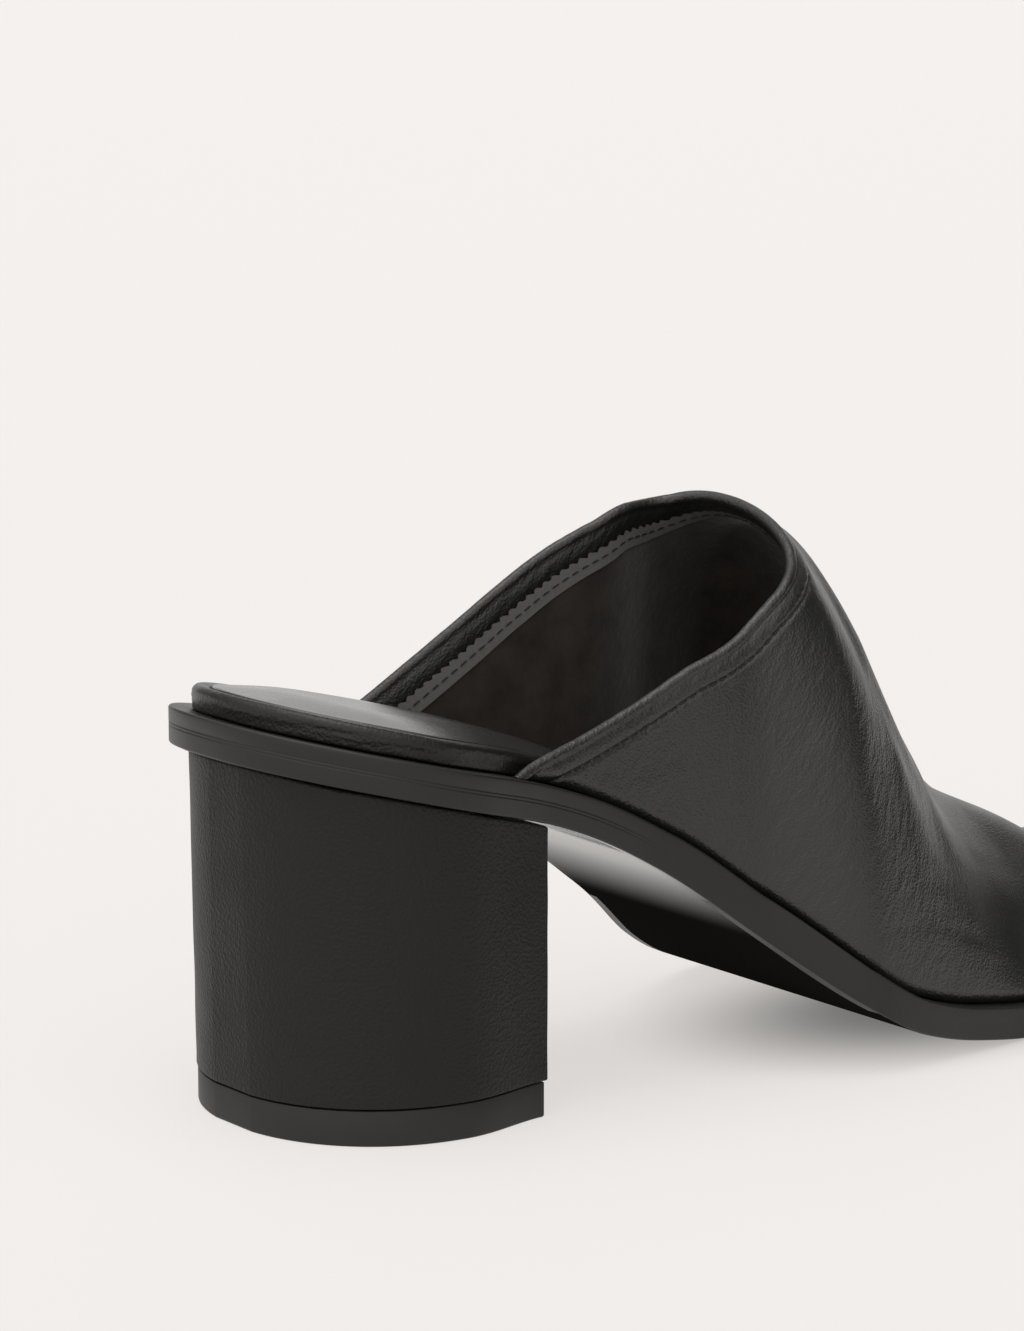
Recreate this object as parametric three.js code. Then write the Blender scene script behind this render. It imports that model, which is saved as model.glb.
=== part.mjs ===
// Block heel mule, right shoe, standing empty on its heel and forepart.
// Millimetres, +Z up, toe towards -Y, wearer's right side towards -X.
// Origin: middle of the sole's plan, on the floor.

import * as THREE from "three";

// Driving sizes
const SOLE_LENGTH = 229;
const BALL_WIDTH = 83;
const WAIST_WIDTH = 53;
const HEEL_WIDTH = 67.8;
const HEEL_HEIGHT = 66.3;
const HEEL_DEPTH = 52.3;
const HEEL_INSET = 3.9;
const BREAST_INSET = 0.5;
const HEEL_TAPER = 0.9;
const TOP_PIECE_HEIGHT = 6.4;
const TOP_PIECE_BACK_INSET = 0.2;
const TOP_PIECE_BREAST_INSET = 0.5;
const TOE_SPRING = 7.5;
const HEEL_SEAT_THICKNESS = 6.6;
const FOREPART_THICKNESS = 6.2;
const SOLE_CHAMFER = 0.5;
const HEEL_ROUND_LENGTH = 32.8;
const TOE_ROUND_LENGTH = 56;
const TOE_TIP_SHIFT = -2.5;
const INSTEP_RISE = 84;
const TOE_BOX_RISE = 27;
const TOE_DOME_LENGTH = 44;
const UPPER_INSET = 2.2;
const UPPER_WALL = 1.8;
const COLLAR_BAND_WIDTH = 5.2;
const COLLAR_BAND_STEP = 0.5;
const COLLAR_ROLL = 1.0;
const BAND_EDGE_LENGTH = 0.6;
const BAND_SEARCH_REACH = 32;
const RIM_HEIGHT = 4.1;
const RIM_INSET = 4.0;
const RIM_ROUND = 1.2;
const RIM_ROUND_BEND = 0.4;
const BOARD_FOREPART_HEIGHT = 2.6;
const BOARD_SIDE_ROOM = 0.9;
const BOARD_TOE_ROOM = 1.6;
const SOCK_THICKNESS = 1.2;
const SOCK_INSET = 3.3;
const SOCK_RECESS = 1.2;
const SOCK_RECESS_DRAFT = 0.1;
const SOCK_ROUND = 0.5;
const SOCK_CROWN = 2;
const SOCK_CROWN_REACH = 14;
const JOINT_GAP = 0.3;

// Points of a ring that lie closer than this are one point
const MERGE_DISTANCE = 0.002;

// Steps either side of a point over which a slope is measured
const SLOPE_STEP = 0.5;
const SLOPE_SHARE_STEP = 0.004;

// Exponents of the rounded ends, where 2 is an ellipse and more is squarer
const HEEL_SQUARENESS = 2.15;
const TOE_SQUARENESS = 2.1;
const TOE_DOME_SQUARENESS = 2.2;

// Counts of steps along and across the pieces
const SOLE_STEPS = 64;
const HEEL_STEPS = 26;
const BOARD_STEPS = 52;
const SOCK_CROWN_RINGS = 4;
const UPPER_ROWS = 26;
const UPPER_SIDE_COLUMNS = 22;
const BAND_SEARCH_STEPS = 24;

// Power that draws the upper's columns closer together towards its feet
const COLUMN_SPREAD = 1.5;

// Underside of the sole behind the ball: rise is a share of HEEL_HEIGHT
const SHANK_PROFILE = [
  { along: 0.0, rise: 1.0 },
  { along: 0.114, rise: 0.904 },
  { along: 0.228, rise: 0.795 },
  { along: 0.277, rise: 0.73 },
  { along: 0.346, rise: 0.602 },
  { along: 0.423, rise: 0.402 },
  { along: 0.5, rise: 0.193 },
  { along: 0.557, rise: 0.091 },
  { along: 0.624, rise: 0.032 },
  { along: 0.699, rise: 0.0 },
  { along: 1.0, rise: 0.0 },
];

// Underside of the sole before the ball: lift is a share of TOE_SPRING
const TOE_PROFILE = [
  { along: 0.0, lift: 0.0 },
  { along: 0.786, lift: 0.0 },
  { along: 0.895, lift: 0.32 },
  { along: 1.0, lift: 1.0 },
];

// Sole plan before its ends are rounded: outer and inner are shares of the row's width
const SOLE_SIDES = [
  { along: 0.0, width: HEEL_WIDTH, outer: 0.5, inner: 0.5 },
  { along: 0.144, width: HEEL_WIDTH, outer: 0.5, inner: 0.5 },
  { along: 0.231, width: HEEL_WIDTH, outer: 0.431, inner: 0.432 },
  { along: 0.327, width: WAIST_WIDTH, outer: 0.53, inner: 0.468 },
  { along: 0.423, width: WAIST_WIDTH, outer: 0.622, inner: 0.44 },
  { along: 0.519, width: BALL_WIDTH, outer: 0.53, inner: 0.386 },
  { along: 0.615, width: BALL_WIDTH, outer: 0.508, inner: 0.489 },
  { along: 0.7, width: BALL_WIDTH, outer: 0.48, inner: 0.506 },
  { along: 0.808, width: BALL_WIDTH, outer: 0.464, inner: 0.486 },
  { along: 1.0, width: BALL_WIDTH, outer: 0.398, inner: 0.434 },
];

// Cross-sections of the upper over the sole. Ridge is a share of the row's rise, and shift a
// share of BALL_WIDTH towards the outer side. Wall is how high each side stays steep, as a share
// of the ridge, and crown how far the top stays flat, as a share of the half width. The rows
// behind the throat carry the line of the instep on, and the collar cuts them away.
const UPPER_SECTIONS = [
  { along: 0.201, rise: INSTEP_RISE, ridge: 1.05, shift: -0.012,
    outerWall: 0.6, outerCrown: 0.85, innerWall: 0.6, innerCrown: 0.85 },
  { along: 0.349, rise: INSTEP_RISE, ridge: 1.015, shift: -0.024,
    outerWall: 0.6, outerCrown: 0.8, innerWall: 0.6, innerCrown: 0.8 },
  { along: 0.437, rise: INSTEP_RISE, ridge: 1.018, shift: -0.048,
    outerWall: 0.55, outerCrown: 0.65, innerWall: 0.6, innerCrown: 0.7 },
  { along: 0.502, rise: INSTEP_RISE, ridge: 0.985, shift: -0.065,
    outerWall: 0.55, outerCrown: 0.66, innerWall: 0.59, innerCrown: 1 },
  { along: 0.568, rise: INSTEP_RISE, ridge: 0.99, shift: -0.121,
    outerWall: 0.44, outerCrown: 0.47, innerWall: 0.68, innerCrown: 0.72 },
  { along: 0.633, rise: INSTEP_RISE, ridge: 0.772, shift: -0.108,
    outerWall: 0.37, outerCrown: 0.24, innerWall: 0.52, innerCrown: 0.44 },
  { along: 0.699, rise: INSTEP_RISE, ridge: 0.526, shift: -0.166,
    outerWall: 0.24, outerCrown: 0.31, innerWall: 0.52, innerCrown: 0.47 },
  { along: 0.751, rise: TOE_BOX_RISE, ridge: 1.217, shift: -0.179,
    outerWall: 0.21, outerCrown: 0.44, innerWall: 0.52, innerCrown: 0.48 },
  { along: 0.803, rise: TOE_BOX_RISE, ridge: 0.976, shift: -0.126,
    outerWall: 0.34, outerCrown: 0.55, innerWall: 0.53, innerCrown: 0.49 },
  { along: 0.865, rise: TOE_BOX_RISE, ridge: 0.686, shift: -0.05,
    outerWall: 0.5, outerCrown: 0.6, innerWall: 0.55, innerCrown: 0.5 },
  { along: 0.926, rise: TOE_BOX_RISE, ridge: 0.73, shift: -0.04,
    outerWall: 0.55, outerCrown: 0.6, innerWall: 0.55, innerCrown: 0.5 },
  { along: 1.0, rise: TOE_BOX_RISE, ridge: 0.68, shift: -0.03,
    outerWall: 0.55, outerCrown: 0.55, innerWall: 0.55, innerCrown: 0.5 },
];

// Edge of the collar: across runs from -1, the inner side's foot, over 0, the ridge, to 1, the
// outer side's foot, and along is a share of SOLE_LENGTH
const COLLAR_EDGE = [
  { across: -1, along: 0.199 },
  { across: -0.9, along: 0.262 },
  { across: -0.75, along: 0.335 },
  { across: -0.55, along: 0.41 },
  { across: -0.34, along: 0.472 },
  { across: -0.15, along: 0.506 },
  { across: 0.03, along: 0.523 },
  { across: 0.19, along: 0.5155 },
  { across: 0.36, along: 0.492 },
  { across: 0.56, along: 0.448 },
  { across: 0.76, along: 0.382 },
  { across: 0.91, along: 0.292 },
  { across: 1, along: 0.2 },
];

// Footbed board: height is a share of RIM_HEIGHT at the seat and of BOARD_FOREPART_HEIGHT before
// the arch, and inset runs from 0, the open rim, to 1, inside the upper's wall
const BOARD_PROFILE = [
  { along: 0.0, seat: 1.0, forepart: 0.0, inside: 0.0 },
  { along: 0.12, seat: 1.0, forepart: 0.0, inside: 0.0 },
  { along: 0.17, seat: 1.0, forepart: 0.0, inside: 1.0 },
  { along: 0.3, seat: 0.85, forepart: 0.15, inside: 1.0 },
  { along: 0.5, seat: 0.0, forepart: 1.0, inside: 1.0 },
  { along: 1.0, seat: 0.0, forepart: 1.0, inside: 1.0 },
];

// How full the padding under the sock is: full is a share of SOCK_CROWN
const SOCK_PADDING = [
  { along: 0.0, full: 0.5 },
  { along: 0.12, full: 0.85 },
  { along: 0.28, full: 1.0 },
  { along: 0.42, full: 0.9 },
  { along: 0.65, full: 0.35 },
  { along: 1.0, full: 0.15 },
];

// A smooth curve through one column of a table, with no overshoot between its rows
function curveThrough(rows, keyColumn, valueOf) {
  const keys = rows.map((row) => row[keyColumn]);
  const values = rows.map(valueOf);
  const last = keys.length - 1;
  const gaps = keys.slice(1).map((key, i) => key - keys[i]);
  const rises = gaps.map((gap, i) => (values[i + 1] - values[i]) / gap);
  const slopes = values.map((_, i) => {
    if (i === 0) {
      return rises[0];
    }
    if (i === last) {
      return rises[last - 1];
    }
    if (rises[i - 1] * rises[i] <= 0) {
      return 0;
    }
    const before = 2 * gaps[i] + gaps[i - 1];
    const after = gaps[i] + 2 * gaps[i - 1];
    return (before + after) / (before / rises[i - 1] + after / rises[i]);
  });
  return (key) => {
    const at = THREE.MathUtils.clamp(key, keys[0], keys[last]);
    let i = 0;
    while (i < last - 1 && at > keys[i + 1]) {
      i += 1;
    }
    const t = (at - keys[i]) / gaps[i];
    const t2 = t * t;
    const t3 = t2 * t;
    return (
      (2 * t3 - 3 * t2 + 1) * values[i] +
      (t3 - 2 * t2 + t) * gaps[i] * slopes[i] +
      (3 * t2 - 2 * t3) * values[i + 1] +
      (t3 - t2) * gaps[i] * slopes[i + 1]
    );
  };
}

// Sole: station is the distance from the heel's back, measured along the underside's plan
const shankRise = curveThrough(SHANK_PROFILE, "along", (row) => row.rise * HEEL_HEIGHT);
const toeLift = curveThrough(TOE_PROFILE, "along", (row) => row.lift * TOE_SPRING);
const outerHalf = curveThrough(SOLE_SIDES, "along", (row) => row.outer * row.width);
const innerHalf = curveThrough(SOLE_SIDES, "along", (row) => row.inner * row.width);
const thicknessShare = curveThrough(
  [
    { along: 0.0, seat: 1 },
    { along: 0.26, seat: 1 },
    { along: 0.65, seat: 0 },
    { along: 1.0, seat: 0 },
  ],
  "along",
  (row) => row.seat,
);

function underside(station) {
  return shankRise(station / SOLE_LENGTH) + toeLift(station / SOLE_LENGTH);
}

function soleThickness(station) {
  const seat = thicknessShare(station / SOLE_LENGTH);
  return THREE.MathUtils.lerp(FOREPART_THICKNESS, HEEL_SEAT_THICKNESS, seat);
}

// The point at a height over the underside, where the height is measured square to the sole
function overUnderside(station, across, height) {
  const from = THREE.MathUtils.clamp(station - SLOPE_STEP, 0, SOLE_LENGTH);
  const to = THREE.MathUtils.clamp(station + SLOPE_STEP, 0, SOLE_LENGTH);
  const tilt = Math.atan((underside(to) - underside(from)) / (to - from));
  return { forward: station, across, up: underside(station) + height / Math.cos(tilt) };
}

// Share of the width that is left where a rounded end closes in
function roundedShare(share, squareness) {
  const inside = THREE.MathUtils.clamp(share, 0, 1);
  return Math.pow(1 - Math.pow(inside, squareness), 1 / squareness);
}

// Half plan of the sole, drawn in by an inset: side is 1 for the outer and -1 for the inner
function soleEdge(station, side, inset) {
  const heelSpan = HEEL_ROUND_LENGTH - inset;
  const heelShare = roundedShare((HEEL_ROUND_LENGTH - station) / heelSpan, HEEL_SQUARENESS);
  const toeStart = SOLE_LENGTH - TOE_ROUND_LENGTH;
  const toeSpan = TOE_ROUND_LENGTH - inset;
  const toeShare = roundedShare((station - toeStart) / toeSpan, TOE_SQUARENESS);
  const half = side > 0 ? outerHalf : innerHalf;
  const reach = side * (half(station / SOLE_LENGTH) - inset) * heelShare;
  return THREE.MathUtils.lerp(TOE_TIP_SHIFT, reach, toeShare);
}

// Middle of the plan, found once, so that the shoe stands centred on its origin
const SIDE_SAMPLES = 200;
const sampledStations = Array.from({ length: SIDE_SAMPLES + 1 }, (_, i) => {
  return (SOLE_LENGTH * i) / SIDE_SAMPLES;
});
const widestOuter = Math.max(...sampledStations.map((at) => soleEdge(at, 1, 0)));
const widestInner = Math.min(...sampledStations.map((at) => soleEdge(at, -1, 0)));
const middleAcross = (widestOuter + widestInner) / 2;
const middleForward = SOLE_LENGTH / 2;

function toShoeFrame(point) {
  return new THREE.Vector3(
    middleAcross - point.across,
    middleForward - point.forward,
    point.up,
  );
}

// Stations from one end to the other, closer together where an end is rounded
function stationsBetween(from, to, count, roundedBack, roundedFront) {
  const list = [];
  for (let i = 0; i <= count; i += 1) {
    const t = i / count;
    let share = t;
    if (roundedBack && roundedFront) {
      share = (1 - Math.cos(Math.PI * t)) / 2;
    } else if (roundedBack) {
      share = 1 - Math.cos((Math.PI / 2) * t);
    }
    list.push(THREE.MathUtils.lerp(from, to, share));
  }
  return list;
}

// A closed solid from rings stacked upwards. Each ring has an outer and an inner chain of points
// from back to front, and the first and last rings are closed by strips from side to side.
function solidFromRings(rings) {
  const positions = [];
  const triangles = [];
  const rows = rings.map((ring) => {
    const last = ring.outer.length - 1;
    const samePlace = (i) => ring.outer[i].distanceTo(ring.inner[i]) < MERGE_DISTANCE;
    const place = (point) => {
      positions.push(point.x, point.y, point.z);
      return positions.length / 3 - 1;
    };
    const outer = ring.outer.map(place);
    const inner = ring.inner.map((point, i) => (samePlace(i) ? outer[i] : place(point)));
    const around = [...outer];
    for (let i = last; i >= 0; i -= 1) {
      if (inner[i] !== outer[i]) {
        around.push(inner[i]);
      }
    }
    return { outer, inner, around };
  });
  const addFace = (a, b, c) => {
    if (a !== b && b !== c && a !== c) {
      triangles.push(a, b, c);
    }
  };
  for (let level = 0; level < rows.length - 1; level += 1) {
    const low = rows[level].around;
    const high = rows[level + 1].around;
    for (let i = 0; i < low.length; i += 1) {
      const next = (i + 1) % low.length;
      addFace(low[i], high[next], high[i]);
      addFace(low[i], low[next], high[next]);
    }
  }
  const closeWithStrips = (row, facesUp) => {
    for (let i = 0; i < row.outer.length - 1; i += 1) {
      const corners = [row.outer[i], row.outer[i + 1], row.inner[i + 1], row.inner[i]];
      if (!facesUp) {
        corners.reverse();
      }
      addFace(corners[0], corners[1], corners[2]);
      addFace(corners[0], corners[2], corners[3]);
    }
  };
  closeWithStrips(rows[0], false);
  closeWithStrips(rows[rows.length - 1], true);
  return geometryFrom(positions, triangles);
}

function geometryFrom(positions, triangles) {
  const geometry = new THREE.BufferGeometry();
  geometry.setAttribute("position", new THREE.Float32BufferAttribute(positions, 3));
  geometry.setIndex(triangles);
  geometry.computeVertexNormals();
  return geometry;
}

// One ring of a slab that lies along the sole, with its height given for each station
function slabRing(stations, insetAt, heightAt) {
  const chain = (side) => {
    return stations.map((station) => {
      const across = soleEdge(station, side, insetAt(station));
      return toShoeFrame(overUnderside(station, across, heightAt(station)));
    });
  };
  return { outer: chain(1), inner: chain(-1) };
}

function makeOutsole() {
  const ring = (inset, heightAt) => {
    const stations = stationsBetween(inset, SOLE_LENGTH - inset, SOLE_STEPS, true, true);
    return slabRing(stations, () => inset, heightAt);
  };
  return solidFromRings([
    ring(SOLE_CHAMFER, () => 0),
    ring(0, () => SOLE_CHAMFER),
    ring(0, (station) => soleThickness(station) - SOLE_CHAMFER),
    ring(SOLE_CHAMFER, (station) => soleThickness(station)),
  ]);
}

// A ring of the heel, round at the back and cut straight at the breast
function heelRing(backInset, breastInset, upAt) {
  const breast = HEEL_DEPTH - (breastInset - BREAST_INSET);
  const stations = stationsBetween(backInset, breast, HEEL_STEPS, true, false);
  const chain = (side) => {
    return stations.map((station) => {
      const inset = THREE.MathUtils.lerp(backInset, breastInset, station / HEEL_DEPTH);
      const across = soleEdge(station, side, inset);
      return toShoeFrame({ forward: station, across, up: upAt(station) });
    });
  };
  return { outer: chain(1), inner: chain(-1) };
}

function makeHeelBlock() {
  const low = TOP_PIECE_HEIGHT + JOINT_GAP;
  return solidFromRings([
    heelRing(HEEL_INSET + HEEL_TAPER, BREAST_INSET, () => low),
    heelRing(HEEL_INSET, BREAST_INSET, (station) => underside(station) - JOINT_GAP),
  ]);
}

function makeTopPiece() {
  const back = HEEL_INSET + HEEL_TAPER + TOP_PIECE_BACK_INSET;
  const breast = BREAST_INSET + TOP_PIECE_BREAST_INSET;
  return solidFromRings([
    heelRing(back + SOLE_CHAMFER, breast + SOLE_CHAMFER, () => 0),
    heelRing(back, breast, () => SOLE_CHAMFER),
    heelRing(back, breast, () => TOP_PIECE_HEIGHT),
  ]);
}

// Footbed: the rim shows at the seat, and from the collar on it lies inside the upper
const boardHeightCurve = curveThrough(BOARD_PROFILE, "along", (row) => {
  return row.seat * RIM_HEIGHT + row.forepart * BOARD_FOREPART_HEIGHT;
});
const boardInside = curveThrough(BOARD_PROFILE, "along", (row) => row.inside);
const boardToeShare = curveThrough(
  [
    { along: 0.0, toe: 0 },
    { along: 0.5, toe: 0 },
    { along: 0.8, toe: 1 },
    { along: 1.0, toe: 1 },
  ],
  "along",
  (row) => row.toe,
);

function boardHeight(station) {
  return boardHeightCurve(station / SOLE_LENGTH);
}

function boardInset(station) {
  const insideInset = UPPER_INSET + UPPER_WALL + JOINT_GAP + BOARD_SIDE_ROOM;
  const toeInset = BOARD_TOE_ROOM * boardToeShare(station / SOLE_LENGTH);
  return THREE.MathUtils.lerp(RIM_INSET, insideInset, boardInside(station / SOLE_LENGTH)) + toeInset;
}

function boardRing(extraInset, heightAt) {
  const back = RIM_INSET + extraInset;
  const front = SOLE_LENGTH - boardInset(SOLE_LENGTH) - extraInset;
  const stations = stationsBetween(back, front, BOARD_STEPS, true, true);
  return slabRing(stations, (station) => boardInset(station) + extraInset, heightAt);
}

function boardBottom(station) {
  return soleThickness(station) + JOINT_GAP;
}

function boardTop(station) {
  return boardBottom(station) + boardHeight(station);
}

// Floor of the recess that the sock lies in
function recessFloor(station) {
  return boardTop(station) - SOCK_RECESS;
}

function makeFootbed() {
  return solidFromRings([
    boardRing(0, boardBottom),
    boardRing(0, (station) => boardTop(station) - RIM_ROUND),
    boardRing(RIM_ROUND_BEND, (station) => boardTop(station) - RIM_ROUND_BEND),
    boardRing(RIM_ROUND, boardTop),
    boardRing(SOCK_INSET - JOINT_GAP - SOCK_RECESS_DRAFT, boardTop),
    boardRing(SOCK_INSET - JOINT_GAP, recessFloor),
  ]);
}

const sockPadding = curveThrough(SOCK_PADDING, "along", (row) => row.full * SOCK_CROWN);

// The sock is padded: its top rises softly from the edge towards the middle
function makeInsoleSock() {
  const low = (station) => recessFloor(station) + JOINT_GAP;
  const high = (station) => low(station) + SOCK_THICKNESS;
  const rings = [
    boardRing(SOCK_INSET, low),
    boardRing(SOCK_INSET, (station) => high(station) - SOCK_ROUND),
    boardRing(SOCK_INSET + SOCK_ROUND, high),
  ];
  for (let ring = 1; ring <= SOCK_CROWN_RINGS; ring += 1) {
    const share = ring / SOCK_CROWN_RINGS;
    const rise = Math.sin((share * Math.PI) / 2);
    const crownHeight = (station) => high(station) + rise * sockPadding(station / SOLE_LENGTH);
    rings.push(boardRing(SOCK_INSET + SOCK_ROUND + SOCK_CROWN_REACH * share, crownHeight));
  }
  return solidFromRings(rings);
}

// Upper
const ridgeRise = curveThrough(UPPER_SECTIONS, "along", (row) => row.ridge * row.rise);
const ridgeShift = curveThrough(UPPER_SECTIONS, "along", (row) => row.shift * BALL_WIDTH);
const outerWall = curveThrough(UPPER_SECTIONS, "along", (row) => row.outerWall);
const outerCrown = curveThrough(UPPER_SECTIONS, "along", (row) => row.outerCrown);
const innerWall = curveThrough(UPPER_SECTIONS, "along", (row) => row.innerWall);
const innerCrown = curveThrough(UPPER_SECTIONS, "along", (row) => row.innerCrown);
const collarStation = curveThrough(COLLAR_EDGE, "across", (row) => row.along * SOLE_LENGTH);
const upperToe = SOLE_LENGTH - UPPER_INSET;

// Outer face of the upper: across runs from -1 to 1 as in the collar's table
function upperPoint(station, across) {
  const share = station / SOLE_LENGTH;
  const isOuter = across >= 0;
  const foot = soleEdge(station, isOuter ? 1 : -1, UPPER_INSET);
  const domeShare = (station - (upperToe - TOE_DOME_LENGTH)) / TOE_DOME_LENGTH;
  const rise = ridgeRise(share) * roundedShare(domeShare, TOE_DOME_SQUARENESS);
  const middle = ridgeShift(share);
  const wall = isOuter ? outerWall(share) : innerWall(share);
  const crown = isOuter ? outerCrown(share) : innerCrown(share);
  const t = 1 - Math.abs(across);
  const start = Math.pow(1 - t, 3);
  const lower = 3 * t * Math.pow(1 - t, 2);
  const higher = 3 * t * t * (1 - t);
  const end = Math.pow(t, 3);
  const shoulder = THREE.MathUtils.lerp(middle, foot, crown);
  return toShoeFrame({
    forward: station,
    across: (start + lower) * foot + higher * shoulder + end * middle,
    up: footHeight(station) + rise * (lower * wall + higher + end),
  });
}

// Direction square to the outer face, pointing into the shoe
function upperInward(station, across) {
  const back = upperPoint(station - SLOPE_STEP, across);
  const ahead = upperPoint(Math.min(station + SLOPE_STEP, upperToe), across);
  const left = upperPoint(station, Math.max(across - SLOPE_SHARE_STEP, -1));
  const right = upperPoint(station, Math.min(across + SLOPE_SHARE_STEP, 1));
  const along = ahead.sub(back);
  const over = right.sub(left);
  return along.cross(over).normalize();
}

// Station where the collar band ends: its width away from the collar's edge, measured straight
function bandStation(across, edgePoints) {
  let near = collarStation(across);
  let far = near + BAND_SEARCH_REACH;
  for (let i = 0; i < BAND_SEARCH_STEPS; i += 1) {
    const middle = (near + far) / 2;
    const point = upperPoint(middle, across);
    const reach = Math.min(...edgePoints.map((edge) => edge.distanceTo(point)));
    if (reach < COLLAR_BAND_WIDTH) {
      near = middle;
    } else {
      far = middle;
    }
  }
  return near;
}

// Height of the upper's foot at a station, where it rests over the sole
function footHeight(station) {
  return overUnderside(station, 0, soleThickness(station) + JOINT_GAP).up;
}

function makeUpper() {
  const columns = [];
  for (let i = -UPPER_SIDE_COLUMNS; i <= UPPER_SIDE_COLUMNS; i += 1) {
    const away = 1 - Math.abs(i) / UPPER_SIDE_COLUMNS;
    columns.push(Math.sign(i) * (1 - Math.pow(away, COLUMN_SPREAD)));
  }
  const edgePoints = columns.map((across) => upperPoint(collarStation(across), across));
  const bandEnds = columns.map((across) => bandStation(across, edgePoints));

  // Rows of the outer face from the collar to just short of the toe's tip
  const rows = [];
  rows.push(columns.map((_, c) => ({ station: collarStation(columns[c]), lift: 0 })));
  rows.push(columns.map((_, c) => {
    const start = collarStation(columns[c]);
    return { station: start + COLLAR_ROLL, lift: COLLAR_BAND_STEP };
  }));
  rows.push(columns.map((_, c) => {
    const start = collarStation(columns[c]);
    return { station: (start + bandEnds[c]) / 2, lift: COLLAR_BAND_STEP };
  }));
  rows.push(columns.map((_, c) => {
    return { station: bandEnds[c] - BAND_EDGE_LENGTH, lift: COLLAR_BAND_STEP };
  }));
  for (let r = 0; r < UPPER_ROWS; r += 1) {
    const share = Math.sin((Math.PI / 2) * (r / UPPER_ROWS));
    rows.push(columns.map((_, c) => {
      return { station: THREE.MathUtils.lerp(bandEnds[c], upperToe, share), lift: 0 };
    }));
  }

  const positions = [];
  const triangles = [];
  const place = (point) => {
    positions.push(point.x, point.y, point.z);
    return positions.length / 3 - 1;
  };
  const outerRows = rows.map((row) => row.map((spot, c) => {
    const inward = upperInward(spot.station, columns[c]);
    return place(upperPoint(spot.station, columns[c]).addScaledVector(inward, -spot.lift));
  }));
  const innerRows = rows.map((row) => row.map((spot, c) => {
    const inward = upperInward(spot.station, columns[c]);
    const point = upperPoint(spot.station, columns[c]).addScaledVector(inward, UPPER_WALL);
    if (Math.abs(columns[c]) === 1) {
      point.z = footHeight(middleForward - point.y);
    }
    return place(point);
  }));
  const outerTip = place(upperPoint(upperToe, 0));
  const tip = upperPoint(upperToe, 0);
  tip.y += UPPER_WALL;
  tip.z = footHeight(middleForward - tip.y);
  const innerTip = place(tip);

  const lastColumn = columns.length - 1;
  const addQuad = (a, b, c, d) => {
    triangles.push(a, c, b);
    triangles.push(a, d, c);
  };
  for (let r = 0; r < rows.length - 1; r += 1) {
    for (let c = 0; c < lastColumn; c += 1) {
      addQuad(outerRows[r][c], outerRows[r + 1][c], outerRows[r + 1][c + 1], outerRows[r][c + 1]);
      addQuad(innerRows[r][c + 1], innerRows[r + 1][c + 1], innerRows[r + 1][c], innerRows[r][c]);
    }
    addQuad(innerRows[r][0], innerRows[r + 1][0], outerRows[r + 1][0], outerRows[r][0]);
    addQuad(
      outerRows[r][lastColumn],
      outerRows[r + 1][lastColumn],
      innerRows[r + 1][lastColumn],
      innerRows[r][lastColumn],
    );
  }
  for (let c = 0; c < lastColumn; c += 1) {
    addQuad(innerRows[0][c], outerRows[0][c], outerRows[0][c + 1], innerRows[0][c + 1]);
  }
  const front = rows.length - 1;
  for (let c = 0; c < lastColumn; c += 1) {
    triangles.push(outerRows[front][c], outerRows[front][c + 1], outerTip);
    triangles.push(innerRows[front][c + 1], innerRows[front][c], innerTip);
  }
  addQuad(innerRows[front][0], innerTip, outerTip, outerRows[front][0]);
  addQuad(outerRows[front][lastColumn], outerTip, innerTip, innerRows[front][lastColumn]);
  return geometryFrom(positions, triangles);
}

const shoe = new THREE.Group();

function addPiece(name, geometry, color, roughness) {
  const material = new THREE.MeshStandardMaterial({ color, roughness, metalness: 0 });
  const mesh = new THREE.Mesh(geometry, material);
  mesh.name = name;
  shoe.add(mesh);
}

addPiece("outsole", makeOutsole(), 0x242422, 0.5);
addPiece("heel_block", makeHeelBlock(), 0x2a2b2b, 0.6);
addPiece("top_piece", makeTopPiece(), 0x141414, 0.7);
addPiece("footbed", makeFootbed(), 0x262423, 0.5);
addPiece("insole_sock", makeInsoleSock(), 0x2b2a29, 0.55);
addPiece("upper", makeUpper(), 0x1f1f1f, 0.45);

export default shoe;
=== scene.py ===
import math

import bmesh
import bpy
import numpy as np
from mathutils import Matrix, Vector


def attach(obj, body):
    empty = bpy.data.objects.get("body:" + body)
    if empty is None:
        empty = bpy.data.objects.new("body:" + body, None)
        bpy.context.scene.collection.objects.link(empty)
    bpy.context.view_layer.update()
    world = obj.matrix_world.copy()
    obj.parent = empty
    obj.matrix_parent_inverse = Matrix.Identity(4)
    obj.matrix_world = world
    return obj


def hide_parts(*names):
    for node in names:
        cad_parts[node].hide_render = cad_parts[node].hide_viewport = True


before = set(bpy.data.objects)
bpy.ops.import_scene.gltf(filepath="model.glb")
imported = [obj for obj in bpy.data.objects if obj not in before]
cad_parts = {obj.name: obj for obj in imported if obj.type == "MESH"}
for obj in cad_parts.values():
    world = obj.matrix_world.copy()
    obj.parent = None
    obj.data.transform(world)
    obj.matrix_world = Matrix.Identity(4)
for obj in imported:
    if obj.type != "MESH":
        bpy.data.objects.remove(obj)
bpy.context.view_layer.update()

# The camera stands at the photograph's angle to the shoe: metres in the part's frame
CAMERA_PLACE = (-0.662944179, 0.54012, 0.22915)
CAMERA_DIRECTION = (0.790243, -0.584682, -0.183475)
CAMERA_LENS = 126.664
SENSOR_WIDTH = 36

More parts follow.
